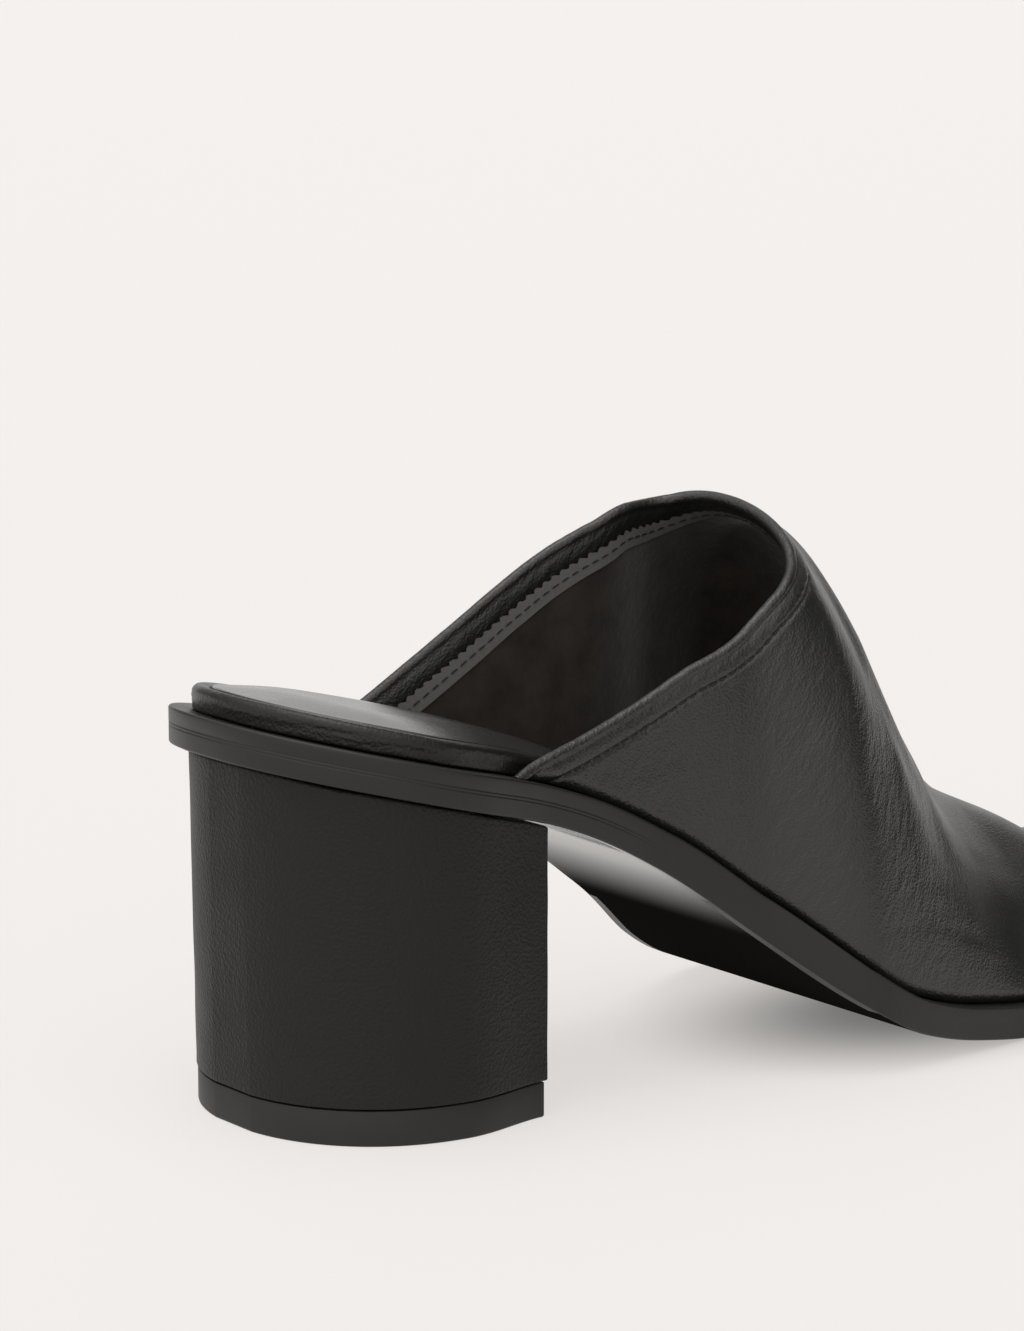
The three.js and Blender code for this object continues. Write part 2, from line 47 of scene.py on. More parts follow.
camera_data = bpy.data.cameras.new("camera")
camera_data.lens = CAMERA_LENS
camera_data.sensor_width = SENSOR_WIDTH
camera = bpy.data.objects.new("camera", camera_data)
camera.location = CAMERA_PLACE
camera.rotation_euler = Vector(CAMERA_DIRECTION).to_track_quat("-Z", "Y").to_euler()
bpy.context.scene.collection.objects.link(camera)
bpy.context.scene.camera = camera

# Sizes, in millimetres
SOLE_LENGTH = 229
BALL_WIDTH = 83
WAIST_WIDTH = 53
HEEL_WIDTH = 67.8
HEEL_HEIGHT = 66.3
HEEL_DEPTH = 52.3
HEEL_INSET = 3.9
BREAST_INSET = 0.5
HEEL_TAPER = 0.9
TOP_PIECE_HEIGHT = 6.4
TOP_PIECE_BACK_INSET = 0.2
TOP_PIECE_BREAST_INSET = 0.5
TOE_SPRING = 7.5
HEEL_SEAT_THICKNESS = 6.6
FOREPART_THICKNESS = 6.2
HEEL_ROUND_LENGTH = 32.8
TOE_ROUND_LENGTH = 56
TOE_TIP_SHIFT = -2.5
INSTEP_RISE = 84
TOE_BOX_RISE = 27
TOE_DOME_LENGTH = 44
UPPER_INSET = 2.2
UPPER_WALL = 1.8
RIM_HEIGHT = 4.1
RIM_INSET = 4
BOARD_FOREPART_HEIGHT = 2.6
BOARD_SIDE_ROOM = 0.9
BOARD_TOE_ROOM = 1.6
SOCK_THICKNESS = 1.2
SOCK_INSET = 3.3
SOCK_RECESS = 1.2
SOCK_CROWN = 2
SOCK_CROWN_REACH = 14
JOINT_GAP = 0.3
HEEL_SQUARENESS = 2.15
TOE_SQUARENESS = 2.1
TOE_DOME_SQUARENESS = 2.2

# TABLES BEGIN
# along, rise as a share of HEEL_HEIGHT
SHANK_PROFILE = [
    (0.0, 1.0),
    (0.114, 0.904),
    (0.228, 0.795),
    (0.277, 0.73),
    (0.346, 0.602),
    (0.423, 0.402),
    (0.5, 0.193),
    (0.557, 0.091),
    (0.624, 0.032),
    (0.699, 0.0),
    (1.0, 0.0),
]

# along, lift as a share of TOE_SPRING
TOE_PROFILE = [
    (0.0, 0.0),
    (0.786, 0.0),
    (0.895, 0.32),
    (1.0, 1.0),
]

# along, width, outer and inner as shares of the width
SOLE_SIDES = [
    (0.0, HEEL_WIDTH, 0.5, 0.5),
    (0.144, HEEL_WIDTH, 0.5, 0.5),
    (0.231, HEEL_WIDTH, 0.431, 0.432),
    (0.327, WAIST_WIDTH, 0.53, 0.468),
    (0.423, WAIST_WIDTH, 0.622, 0.44),
    (0.519, BALL_WIDTH, 0.53, 0.386),
    (0.615, BALL_WIDTH, 0.508, 0.489),
    (0.7, BALL_WIDTH, 0.48, 0.506),
    (0.808, BALL_WIDTH, 0.464, 0.486),
    (1.0, BALL_WIDTH, 0.398, 0.434),
]

# along, rise, ridge, shift, outer wall, outer crown, inner wall, inner crown
UPPER_SECTIONS = [
    (0.201, INSTEP_RISE, 1.05, -0.012, 0.6, 0.85, 0.6, 0.85),
    (0.349, INSTEP_RISE, 1.015, -0.024, 0.6, 0.8, 0.6, 0.8),
    (0.437, INSTEP_RISE, 1.018, -0.048, 0.55, 0.65, 0.6, 0.7),
    (0.502, INSTEP_RISE, 0.985, -0.065, 0.55, 0.66, 0.59, 1),
    (0.568, INSTEP_RISE, 0.99, -0.121, 0.44, 0.47, 0.68, 0.72),
    (0.633, INSTEP_RISE, 0.772, -0.108, 0.37, 0.24, 0.52, 0.44),
    (0.699, INSTEP_RISE, 0.526, -0.166, 0.24, 0.31, 0.52, 0.47),
    (0.751, TOE_BOX_RISE, 1.217, -0.179, 0.21, 0.44, 0.52, 0.48),
    (0.803, TOE_BOX_RISE, 0.976, -0.126, 0.34, 0.55, 0.53, 0.49),
    (0.865, TOE_BOX_RISE, 0.686, -0.05, 0.5, 0.6, 0.55, 0.5),
    (0.926, TOE_BOX_RISE, 0.73, -0.04, 0.55, 0.6, 0.55, 0.5),
    (1.0, TOE_BOX_RISE, 0.68, -0.03, 0.55, 0.55, 0.55, 0.5),
]

# across, along
COLLAR_EDGE = [
    (-1, 0.199),
    (-0.9, 0.262),
    (-0.75, 0.335),
    (-0.55, 0.41),
    (-0.34, 0.472),
    (-0.15, 0.506),
    (0.03, 0.523),
    (0.19, 0.5155),
    (0.36, 0.492),
    (0.56, 0.448),
    (0.76, 0.382),
    (0.91, 0.292),
    (1, 0.2),
]

# along, seat, forepart, inside
BOARD_PROFILE = [
    (0.0, 1.0, 0.0, 0.0),
    (0.12, 1.0, 0.0, 0.0),
    (0.17, 1.0, 0.0, 1.0),
    (0.3, 0.85, 0.15, 1.0),
    (0.5, 0.0, 1.0, 1.0),
    (1.0, 0.0, 1.0, 1.0),
]
# along, share of SOCK_CROWN
SOCK_PADDING = [(0.0, 0.5), (0.12, 0.85), (0.28, 1.0), (0.42, 0.9), (0.65, 0.35), (1.0, 0.15)]
# TABLES END

SEED = 7

# Sizes of the scene alone, in millimetres
SOLE_LOW_ROUND = 0.55
SOLE_TOP_ROUND = 0.45
# two grooves round the sole's edge: their middles as shares of its thickness, their depth and
# height step by step, and the stations between which they fade out
GROOVE_MIDDLES = (0.5, 0.585)
GROOVE_STEPS = [(0.0, -0.294), (0.0, -0.14), (0.1, -0.056), (0.1, 0.056), (0.0, 0.14)]
GROOVE_FADE = (58, 82)
HEEL_CORNER = 0.45
HEEL_LOW_ROUND = 0.35
HEEL_TOP_ROUND = 0.5
HEEL_ROWS = 40
TOP_PIECE_CORNER = 0.3
TOP_PIECE_LOW_ROUND = 0.5
TOP_PIECE_TOP_ROUND = 0.18
RIM_ROUND = 1.3
# inset from the recess's edge and depth, where the rim's top turns down to the sock's bed
RECESS_STEPS = [(-0.35, 0.0), (-0.1, 0.06), (0.0, 0.3), (0.0, SOCK_RECESS)]
SOCK_PLAY = 0.2
SOCK_ROUND = 0.45
SOCK_CROWN_ROWS = 14
SIDE_COLUMNS = 170
FRONT_ROWS = 190
LINING_FRONT_ROWS = 90
LINING_TOE_GAP = 3
BEAD = 1.1
STITCH_LINE = 5.0
STITCH_PITCH = 2.3
STITCH_END = 0.8
STITCH_SIDES = 8
STITCH_RINGS = 7
# rows of the mesh by their distance from the collar's edge
BAND_ROWS = [0.5, 0.8, 1.1, 1.4, 1.65, 1.85, 2.05, 2.25, 2.5, 2.8, 3.2, 3.6, 3.95]
BAND_ROWS += [4.2, 4.4, 4.6, 4.8, 5.0, 5.2, 5.4, 5.65, 5.95, 6.35, 6.9, 7.6, 8.5]
HIDDEN_BAND_ROWS = 6
INNER_ROWS = [2.2, 2.6, 3.1, 3.7, 4.3, 4.8, 5.2, 5.4]
INNER_BAND_END = 5.5
LINING_ROWS = [4.6, 5.6, 7.0, 9.0, 12.0]
TAPE_ROWS = [5.1, 6.4, 7.6, 8.8]
TAPE_RAISE = 0.22
ZIGZAG_PITCH = 2.2
LINING_STITCH_LINE = 6.9
# Soft troughs and ridges listed one by one on the outer side: from and to as (forward, up),
# height, where a trough is below 0, and half width
CREASES = [
    ((128, 84), (136, 52), -0.55, 3.2),
    ((131, 80), (141, 50), 0.4, 3.0),
    ((121, 78), (131, 48), 0.3, 4.2),
    ((112, 72), (124, 44), -0.25, 3.6),
    ((136, 46), (150, 27), -0.35, 4.0),
    ((101, 62), (112, 38), 0.16, 3.0),
    ((146, 34), (166, 22), 0.3, 4.5),
    ((150, 44), (176, 27), -0.5, 5.5),
]


# Curves and plan of the sole
def curve(keys, values):
    """A smooth curve through the points, with no overshoot between them."""
    keys = np.array(keys, float)
    values = np.array(values, float)
    gaps = np.diff(keys)
    rises = np.diff(values) / gaps
    slopes = np.zeros(len(keys))
    slopes[0], slopes[-1] = rises[0], rises[-1]
    for i in range(1, len(keys) - 1):
        if rises[i - 1] * rises[i] > 0:
            before = 2 * gaps[i] + gaps[i - 1]
            after = gaps[i] + 2 * gaps[i - 1]
            slopes[i] = (before + after) / (before / rises[i - 1] + after / rises[i])

    def at(key):
        k = np.clip(np.asarray(key, float), keys[0], keys[-1])
        i = np.clip(np.searchsorted(keys, k, side="left") - 1, 0, len(keys) - 2)
        t = (k - keys[i]) / gaps[i]
        t2, t3 = t * t, t * t * t
        return (
            (2 * t3 - 3 * t2 + 1) * values[i]
            + (t3 - 2 * t2 + t) * gaps[i] * slopes[i]
            + (3 * t2 - 2 * t3) * values[i + 1]
            + (t3 - t2) * gaps[i] * slopes[i + 1]
        )

    return at


def column(rows, value_of):
    return curve([row[0] for row in rows], [value_of(row) for row in rows])


def smooth(x, low, high):
    t = np.clip((np.asarray(x, float) - low) / (high - low), 0, 1)
    return t * t * (3 - 2 * t)


def bell(x, width):
    return np.exp(-((np.asarray(x, float) / width) ** 2))


shank_rise = column(SHANK_PROFILE, lambda r: r[1] * HEEL_HEIGHT)
toe_lift = column(TOE_PROFILE, lambda r: r[1] * TOE_SPRING)
outer_half = column(SOLE_SIDES, lambda r: r[1] * r[2])
inner_half = column(SOLE_SIDES, lambda r: r[1] * r[3])
seat_share = curve([0, 0.26, 0.65, 1], [1, 1, 0, 0])


def underside(u):
    return shank_rise(u / SOLE_LENGTH) + toe_lift(u / SOLE_LENGTH)


def sole_thickness(u):
    return FOREPART_THICKNESS + (HEEL_SEAT_THICKNESS - FOREPART_THICKNESS) * seat_share(u / SOLE_LENGTH)


def over_underside(u, height):
    low = np.clip(u - 0.5, 0, SOLE_LENGTH)
    high = np.clip(u + 0.5, 0, SOLE_LENGTH)
    tilt = np.arctan((underside(high) - underside(low)) / (high - low))
    return underside(u) + height / np.cos(tilt)


def rounded(share, squareness):
    x = np.clip(share, 0, 1)
    return (1 - x**squareness) ** (1 / squareness)


def sole_edge(u, side, inset):
    heel = rounded((HEEL_ROUND_LENGTH - u) / (HEEL_ROUND_LENGTH - inset), HEEL_SQUARENESS)
    toe = rounded((u - (SOLE_LENGTH - TOE_ROUND_LENGTH)) / (TOE_ROUND_LENGTH - inset), TOE_SQUARENESS)
    half = np.where(np.asarray(side) > 0, outer_half(u / SOLE_LENGTH), inner_half(u / SOLE_LENGTH))
    reach = side * (half - inset) * heel
    return TOE_TIP_SHIFT + (reach - TOE_TIP_SHIFT) * toe


samples = np.linspace(0, SOLE_LENGTH, 201)
MIDDLE_ACROSS = (sole_edge(samples, 1, 0).max() + sole_edge(samples, -1, 0).min()) / 2


def to_frame(points):
    """Metres in the part's frame, from millimetres as (forward, across, up)."""
    u, v, z = points[..., 0], points[..., 1], points[..., 2]
    return np.stack([MIDDLE_ACROSS - v, SOLE_LENGTH / 2 - u, z], -1) / 1000


# Noise with a fixed seed
class Noise:
    """Smooth noise from -1 to 1 over a plane of any units."""

    def __init__(self, seed):
        self.grid = np.random.default_rng(seed).uniform(-1, 1, (256, 256))

    def __call__(self, x, y):
        x, y = np.broadcast_arrays(np.asarray(x, float), np.asarray(y, float))
        xi, yi = np.floor(x).astype(int), np.floor(y).astype(int)
        fx, fy = x - xi, y - yi
        fx, fy = fx * fx * (3 - 2 * fx), fy * fy * (3 - 2 * fy)
        g = self.grid
        a, b = g[xi % 256, yi % 256], g[(xi + 1) % 256, yi % 256]
        c, d = g[xi % 256, (yi + 1) % 256], g[(xi + 1) % 256, (yi + 1) % 256]
        return (a * (1 - fx) + b * fx) * (1 - fy) + (c * (1 - fx) + d * fx) * fy


noise_a, noise_b, noise_c, noise_d = (Noise(SEED + i) for i in range(4))


# Meshes
def add_mesh(name, points, faces, material, node=None):
    """A mesh object riding on the shoe, from millimetre points and faces of three or four corners."""
    faces = [tuple(face) for face in faces]
    mesh = bpy.data.meshes.new(name)
    mesh.from_pydata(to_frame(np.asarray(points, float)).tolist(), [], faces)
    shell = bmesh.new()
    shell.from_mesh(mesh)
    if all(edge.is_manifold for edge in shell.edges):
        bmesh.ops.recalc_face_normals(shell, faces=shell.faces)
    shell.to_mesh(mesh)
    shell.free()
    mesh.polygons.foreach_set("use_smooth", [True] * len(mesh.polygons))
    mesh.materials.append(material)
    mesh.update()
    obj = bpy.data.objects.new(name, mesh)
    bpy.context.scene.collection.objects.link(obj)
    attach(obj, "root")
    if node:
        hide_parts(node)
    return obj


def grid_faces(rows, columns, start=0, closed=False):
    """Corner numbers of a sheet of rows by columns points."""
    r = np.arange(rows - 1)[:, None]
    last = columns if closed else columns - 1
    c = np.arange(last)[None, :]
    n = (c + 1) % columns
    a = start + r * columns + c
    b = start + r * columns + n
    d = start + (r + 1) * columns + c
    e = start + (r + 1) * columns + n
    return np.stack([a, b, e, d], -1).reshape(-1, 4)


def stacked_solid(loops, across_steps, top_height=None, bottom_height=None):
    """A closed solid from closed loops stacked upwards. Point i of a loop faces point n - i
    on the other side, and rows of points from side to side close the first and last loops."""
    loops = [np.asarray(loop, float) for loop in loops]
    n = len(loops[0])
    points = np.concatenate(loops)
    faces = grid_faces(len(loops), n, closed=True).tolist()
    t = np.linspace(0, 1, across_steps + 1)[1:-1]

    def cap(start, loop, height, up):
        nonlocal points
        half = n // 2
        rows, extra = [], []
        base = len(points)
        for i in range(1, half):
            a, b = loop[i], loop[n - i]
            line = a[None] + (b - a)[None] * t[:, None]
            if height is not None:
                line[:, 2] = height(line[:, 0], line[:, 1])
            rows.append([start + i] + list(range(base, base + len(t))) + [start + n - i])
            base += len(t)
            extra.append(line)
        points = np.concatenate([points] + extra)
        out = []
        for low, high in zip(rows[:-1], rows[1:]):
            for c in range(len(low) - 1):
                out.append((low[c], low[c + 1], high[c + 1], high[c]))
        for c in range(len(rows[0]) - 1):
            out.append((start, rows[0][c + 1], rows[0][c]))
            out.append((start + half, rows[-1][c], rows[-1][c + 1]))
        return out if up else [face[::-1] for face in out]

    faces += cap(0, loops[0], bottom_height, False)
    faces += cap((len(loops) - 1) * n, loops[-1], top_height, True)
    return points, faces


def ring_of(stations, outer, inner):
    """A closed loop in plan, from the back along the outer side to the front, and back along
    the inner side."""
    forward = np.concatenate([stations, stations[-2:0:-1]])
    across = np.concatenate([outer, inner[-2:0:-1]])
    return np.stack([forward, across], -1)


def drawn_in(plan, distance):
    """The plan loop moved inwards by a distance, which may be given point by point."""
    ahead, behind = np.roll(plan, -1, 0), np.roll(plan, 1, 0)
    along = ahead - behind
    along /= np.linalg.norm(along, axis=1, keepdims=True) + 1e-12
    square = np.stack([along[:, 1], -along[:, 0]], -1)
    area = 0.5 * np.sum(plan[:, 0] * ahead[:, 1] - ahead[:, 0] * plan[:, 1])
    outward = square if area > 0 else -square
    return plan - outward * np.broadcast_to(distance, (len(plan),))[:, None]


def lifted(plan, heights):
    return np.column_stack([plan, np.broadcast_to(heights, (len(plan),))])


def arc_length(plan):
    return np.r_[0, np.cumsum(np.linalg.norm(np.diff(plan, axis=0), axis=1))]


def fillet(radius, steps, edge_height, top):
    """Pairs of (inset, height) round an edge: at the top it closes inwards as it rises."""
    out = []
    for angle in np.linspace(0, math.pi / 2, steps):
        inset = radius * (1 - math.cos(angle))
        rise = radius * (1 - math.sin(angle))
        out.append((inset, edge_height - rise if top else edge_height + rise))
    return out if top else out[::-1]


# Materials. Stations in metres along the frame's Y: where the folds fade, and the polish
FOLDS_TOE, FOLDS_BALL = -0.055, -0.005
POLISH_BALL, POLISH_SHANK = 0.016, 0.036


def new_material(name, base, roughness, specular=0.5):
    material = bpy.data.materials.new(name)
    material.use_nodes = True
    shader = material.node_tree.nodes["Principled BSDF"]
    shader.inputs["Base Color"].default_value = (*base, 1)
    shader.inputs["Roughness"].default_value = roughness
    shader.inputs["Specular IOR Level"].default_value = specular
    return material, shader


def add_node(material, kind, **values):
    node = material.node_tree.nodes.new(kind)
    for key, value in values.items():
        if key in node.inputs:
            node.inputs[key].default_value = value
        else:
            setattr(node, key, value)
    return node


def link(material, out, into):
    material.node_tree.links.new(out, into)


def place_of(material, stretch=(1, 1, 1)):
    """Object coordinates, stretched along the axes."""
    where = add_node(material, "ShaderNodeTexCoord")
    mapping = add_node(material, "ShaderNodeMapping")
    mapping.inputs["Scale"].default_value = stretch
    link(material, where.outputs["Object"], mapping.inputs["Vector"])
    return mapping.outputs["Vector"]


def bump(material, shader, layers):
    """Stacks bump layers, each a (height output, distance in metres, strength)."""
    normal = None
    for height, distance, strength in layers:
        node = add_node(material, "ShaderNodeBump")
        node.inputs["Strength"].default_value = strength
        node.inputs["Distance"].default_value = distance
        link(material, height, node.inputs["Height"])
        if normal is not None:
            link(material, normal, node.inputs["Normal"])
        normal = node.outputs["Normal"]
    link(material, normal, shader.inputs["Normal"])


def noise_height(material, where, scale, detail=3.0, roughness=0.55, distortion=0.0):
    node = add_node(material, "ShaderNodeTexNoise")
    node.inputs["Scale"].default_value = scale
    node.inputs["Detail"].default_value = detail
    node.inputs["Roughness"].default_value = roughness
    node.inputs["Distortion"].default_value = distortion
    link(material, where, node.inputs["Vector"])
    return node.outputs["Fac"]


def cell_height(material, where, scale, smoothness=0.6):
    node = add_node(material, "ShaderNodeTexVoronoi")
    node.feature = "SMOOTH_F1"
    node.inputs["Scale"].default_value = scale
    node.inputs["Smoothness"].default_value = smoothness
    link(material, where, node.inputs["Vector"])
    return node.outputs["Distance"]


def spread(material, fac, low, high):
    """A number that runs from low to high with a noise value."""
    node = add_node(material, "ShaderNodeMapRange")
    node.inputs["From Min"].default_value = 0.3
    node.inputs["From Max"].default_value = 0.7
    node.inputs["To Min"].default_value = low
    node.inputs["To Max"].default_value = high
    link(material, fac, node.inputs["Value"])
    return node.outputs["Result"]


def tinted(material, fac, dark, light):
    node = add_node(material, "ShaderNodeValToRGB")
    node.color_ramp.elements[0].color = (*dark, 1)
    node.color_ramp.elements[1].color = (*light, 1)
    node.color_ramp.elements[0].position = 0.3
    node.color_ramp.elements[1].position = 0.7
    link(material, fac, node.inputs["Fac"])
    return node.outputs["Color"]


def soft_ramp(nodes, links, value, start, end, low, high):
    """A number that runs softly from low to high while a value runs from start to end."""
    node = nodes.new("ShaderNodeMapRange")
    node.interpolation_type = "SMOOTHSTEP"
    for socket, number in zip(("From Min", "From Max", "To Min", "To Max"), (start, end, low, high)):
        node.inputs[socket].default_value = number
    links.new(value, node.inputs["Value"])
    return node.outputs["Result"]


def ramp_along(material, where, start, end, low, high):
    """A soft ramp along the shoe, by the frame's Y."""
    side = add_node(material, "ShaderNodeSeparateXYZ")
    link(material, where, side.inputs["Vector"])
    tree = material.node_tree
    return soft_ramp(tree.nodes, tree.links, side.outputs["Y"], start, end, low, high)


def fold_height(material, where, lean, across, along):
    """Fine folds: noise drawn out along lines that lean this many degrees forward of level
    in the side view. They thin out from the ball to the toe."""
    turned = add_node(material, "ShaderNodeMapping")
    turned.inputs["Rotation"].default_value = (math.radians(lean - 90), 0, 0)
    link(material, where, turned.inputs["Vector"])
    drawn = add_node(material, "ShaderNodeMapping")
    drawn.inputs["Scale"].default_value = (along, across, along)
    link(material, turned.outputs["Vector"], drawn.inputs["Vector"])
    folds = noise_height(material, drawn.outputs["Vector"], 1.0, 2.0)
    share = ramp_along(material, where, FOLDS_TOE, FOLDS_BALL, 0.12, 1.0)
    faded = add_node(material, "ShaderNodeMath")
    faded.operation = "MULTIPLY"
    link(material, folds, faded.inputs[0])
    link(material, share, faded.inputs[1])
    return faded.outputs["Value"]


def leather(name, base, roughness, grain_scale, grain, fine=0.25, specular=0.5, folds=()):
    material, shader = new_material(name, base, roughness, specular)
    where = place_of(material)
    cells = cell_height(material, where, grain_scale)
    pores = noise_height(material, where, grain_scale * 2.6, 3.0)
    patches = noise_height(material, where, 60.0, 3.0)
    dullness = spread(material, patches, roughness - 0.04, roughness + 0.04)
    link(material, dullness, shader.inputs["Roughness"])
    layers = [(cells, 0.00022, grain), (pores, 0.0001, fine)]
    for lean, across, along, strength in folds:
        layers.append((fold_height(material, where, lean, across, along), 0.0005, strength))
    bump(material, shader, layers)
    return material


# lean in degrees, folds a metre across and along, strength
UPPER_FOLDS = [(58, 640.0, 210.0, 0.45), (24, 480.0, 190.0, 0.18)]
# name, colour, roughness, size and strength of the grain, fine grain, specular level, folds
upper_leather = leather(
    "upper_leather", (0.0095, 0.0094, 0.0092), 0.36, 2300.0, 0.42, 0.3, 0.6, UPPER_FOLDS
)
rim_leather = leather("rim_leather", (0.009, 0.0086, 0.008), 0.36, 1700.0, 0.4, 0.3, 0.35)
heel_leather = leather("heel_leather", (0.009, 0.009, 0.0086), 0.46, 1700.0, 0.7, 0.4, 0.22)
sock_leather = leather("sock_leather", (0.024, 0.0232, 0.0225), 0.26, 2000.0, 0.1, 0.1, 0.75)
sole_resin = leather("sole_resin", (0.0125, 0.0125, 0.0118), 0.42, 2600.0, 0.1, 0.14, 0.35)
underside_resin = leather("underside_resin", (0.009, 0.008, 0.0072), 0.35, 900.0, 0.02, 0.02, 0.0)
# the underside is polished under the shank, and matt from the ball to the toe
shader = underside_resin.node_tree.nodes["Principled BSDF"]
shader.inputs["Coat Roughness"].default_value = 0.08
shader.inputs["Coat IOR"].default_value = 2.7
polish = ramp_along(underside_resin, place_of(underside_resin), POLISH_BALL, POLISH_SHANK, 0.0, 1.0)
link(underside_resin, polish, shader.inputs["Coat Weight"])
top_rubber = leather("top_rubber", (0.013, 0.013, 0.0126), 0.5, 2600.0, 0.12, 0.2, 0.35)

lining_suede, shader = new_material("lining_suede", (0.0095, 0.0073, 0.0059), 0.92, 0.1)
where = place_of(lining_suede)
nap = noise_height(lining_suede, where, 420.0, 5.0, 0.65, 0.4)
blotch = noise_height(lining_suede, where, 150.0, 3.0)
suede_colour = tinted(lining_suede, blotch, (0.013, 0.0095, 0.0075), (0.03, 0.0235, 0.019))
link(lining_suede, suede_colour, shader.inputs["Base Color"])
bump(lining_suede, shader, [(nap, 0.0004, 0.6)])
shader.inputs["Sheen Weight"].default_value = 0.25
shader.inputs["Sheen Roughness"].default_value = 0.5

tape_cloth, shader = new_material("tape_cloth", (0.12, 0.115, 0.11), 0.75, 0.3)
where = place_of(tape_cloth)
bump(tape_cloth, shader, [(noise_height(tape_cloth, where, 1400.0, 3.0), 0.0002, 0.6)])

thread_black, shader = new_material("thread_black", (0.008, 0.008, 0.008), 0.6, 0.4)
where = place_of(thread_black)
bump(thread_black, shader, [(noise_height(thread_black, where, 3000.0, 2.0), 0.00005, 0.5)])


# Sole
def sole_plan(count=420):
    half = count // 2
    share = (1 - np.cos(np.pi * np.linspace(0, 1, half + 1))) / 2
    stations = SOLE_LENGTH * share
    return ring_of(stations, sole_edge(stations, 1, 0), sole_edge(stations, -1, 0))


def build_outsole():
    plan = sole_plan()
    u = plan[:, 0]
    thick = sole_thickness(u)
    fade = 1 - smooth(u, *GROOVE_FADE)
    levels = []
    for inset, height in fillet(SOLE_LOW_ROUND, 5, 0.0, False):
        levels.append((inset, over_underside(u, height)))
    for middle in GROOVE_MIDDLES:
        for depth, offset in GROOVE_STEPS:
            levels.append((depth * fade, over_underside(u, thick * middle + offset)))
    for inset, height in fillet(SOLE_TOP_ROUND, 5, 0.0, True):
        levels.append((inset, over_underside(u, thick + height)))
    loops = [lifted(drawn_in(plan, inset), z) for inset, z in levels]
    points, faces = stacked_solid(
        loops, 24, lambda a, b: over_underside(a, sole_thickness(a)), lambda a, b: underside(a)
    )
    obj = add_mesh("sole", points, faces, sole_resin, "outsole")
    obj.data.materials.append(underside_resin)
    marks = np.zeros(len(obj.data.polygons), int)
    normals = np.zeros(len(obj.data.polygons) * 3)
    obj.data.polygons.foreach_get("normal", normals)
    centres = np.zeros(len(obj.data.polygons) * 3)
    obj.data.polygons.foreach_get("center", centres)
    normals = normals.reshape(-1, 3)
    centres = centres.reshape(-1, 3) * 1000
    station = SOLE_LENGTH / 2 - centres[:, 1]
    faces_down = normals[:, 2] < -0.6
    marks[faces_down & (centres[:, 2] < underside(station) + 0.05)] = 1
    obj.data.polygons.foreach_set("material_index", marks.tolist())
    return obj


build_outsole()


# Heel
def heel_plan(back_inset, breast_inset, corner=HEEL_CORNER, count=90):
    """Closed loop of the heel, round at the back and straight at the breast, with small corners."""
    breast = HEEL_DEPTH - (breast_inset - BREAST_INSET)
    share = 1 - np.cos(np.pi / 2 * np.linspace(0, 1, count))
    u = back_inset + (breast - corner - back_inset) * share
    inset = back_inset + (breast_inset - back_inset) * u / HEEL_DEPTH
    outer, inner = sole_edge(u, 1, inset), sole_edge(u, -1, inset)
    turn = np.linspace(0, np.pi / 2, 7)[1:]
    outer_corner = outer[-1] - corner + corner * np.cos(turn)
    inner_corner = inner[-1] + corner - corner * np.cos(turn)
    corner_u = breast - corner + corner * np.sin(turn)
    middle = np.linspace(1, 0, 8)[1:]
    stations = np.concatenate([u, corner_u, np.full(7, breast)])
    centre = (outer_corner[-1] + inner_corner[-1]) / 2
    outer = np.concatenate([outer, outer_corner, centre + (outer_corner[-1] - centre) * middle])
    inner = np.concatenate([inner, inner_corner, centre + (inner_corner[-1] - centre) * middle])
    return ring_of(stations, outer, inner)


def build_heel():
    low = TOP_PIECE_HEIGHT + JOINT_GAP
    bottom = heel_plan(HEEL_INSET + HEEL_TAPER, BREAST_INSET)
    top = heel_plan(HEEL_INSET, BREAST_INSET)
    length = arc_length(top)
    wave = 0.16 + 0.14 * noise_a(length / 7.0, 3.0) + 0.05 * noise_b(length / 2.2, 9.0)
    ceiling = underside(top[:, 0]) - JOINT_GAP - np.clip(wave, 0, 0.5)
    loops = []
    for inset, height in fillet(HEEL_LOW_ROUND, 4, 0.0, False):
        loops.append(lifted(drawn_in(bottom, inset), low + height))
    for share in np.linspace(0, 1, HEEL_ROWS)[1:-1]:
        plan = bottom + (top - bottom) * share
        z = (low + HEEL_LOW_ROUND) * (1 - share) + (ceiling - HEEL_TOP_ROUND) * share
        relief = 0.05 * noise_c(length / 9.0, share * 7)
        loops.append(lifted(drawn_in(plan, relief + 0.03), z))
    for inset, height in fillet(HEEL_TOP_ROUND, 5, 0.0, True):
        loops.append(lifted(drawn_in(top, inset), ceiling + height))
    points, faces = stacked_solid(loops, 10)
    add_mesh("heel_wrap", points, faces, heel_leather, "heel_block")


def build_top_piece():
    back = HEEL_INSET + HEEL_TAPER + TOP_PIECE_BACK_INSET
    plan = heel_plan(back, BREAST_INSET + TOP_PIECE_BREAST_INSET, TOP_PIECE_CORNER)
    loops = []
    for inset, height in fillet(TOP_PIECE_LOW_ROUND, 4, 0.0, False):
        loops.append(lifted(drawn_in(plan, inset), height))
    for inset, height in fillet(TOP_PIECE_TOP_ROUND, 3, TOP_PIECE_HEIGHT, True):
        loops.append(lifted(drawn_in(plan, inset), height))
    points, faces = stacked_solid(loops, 10)
    add_mesh("heel_top_piece", points, faces, top_rubber, "top_piece")


build_heel()
build_top_piece()


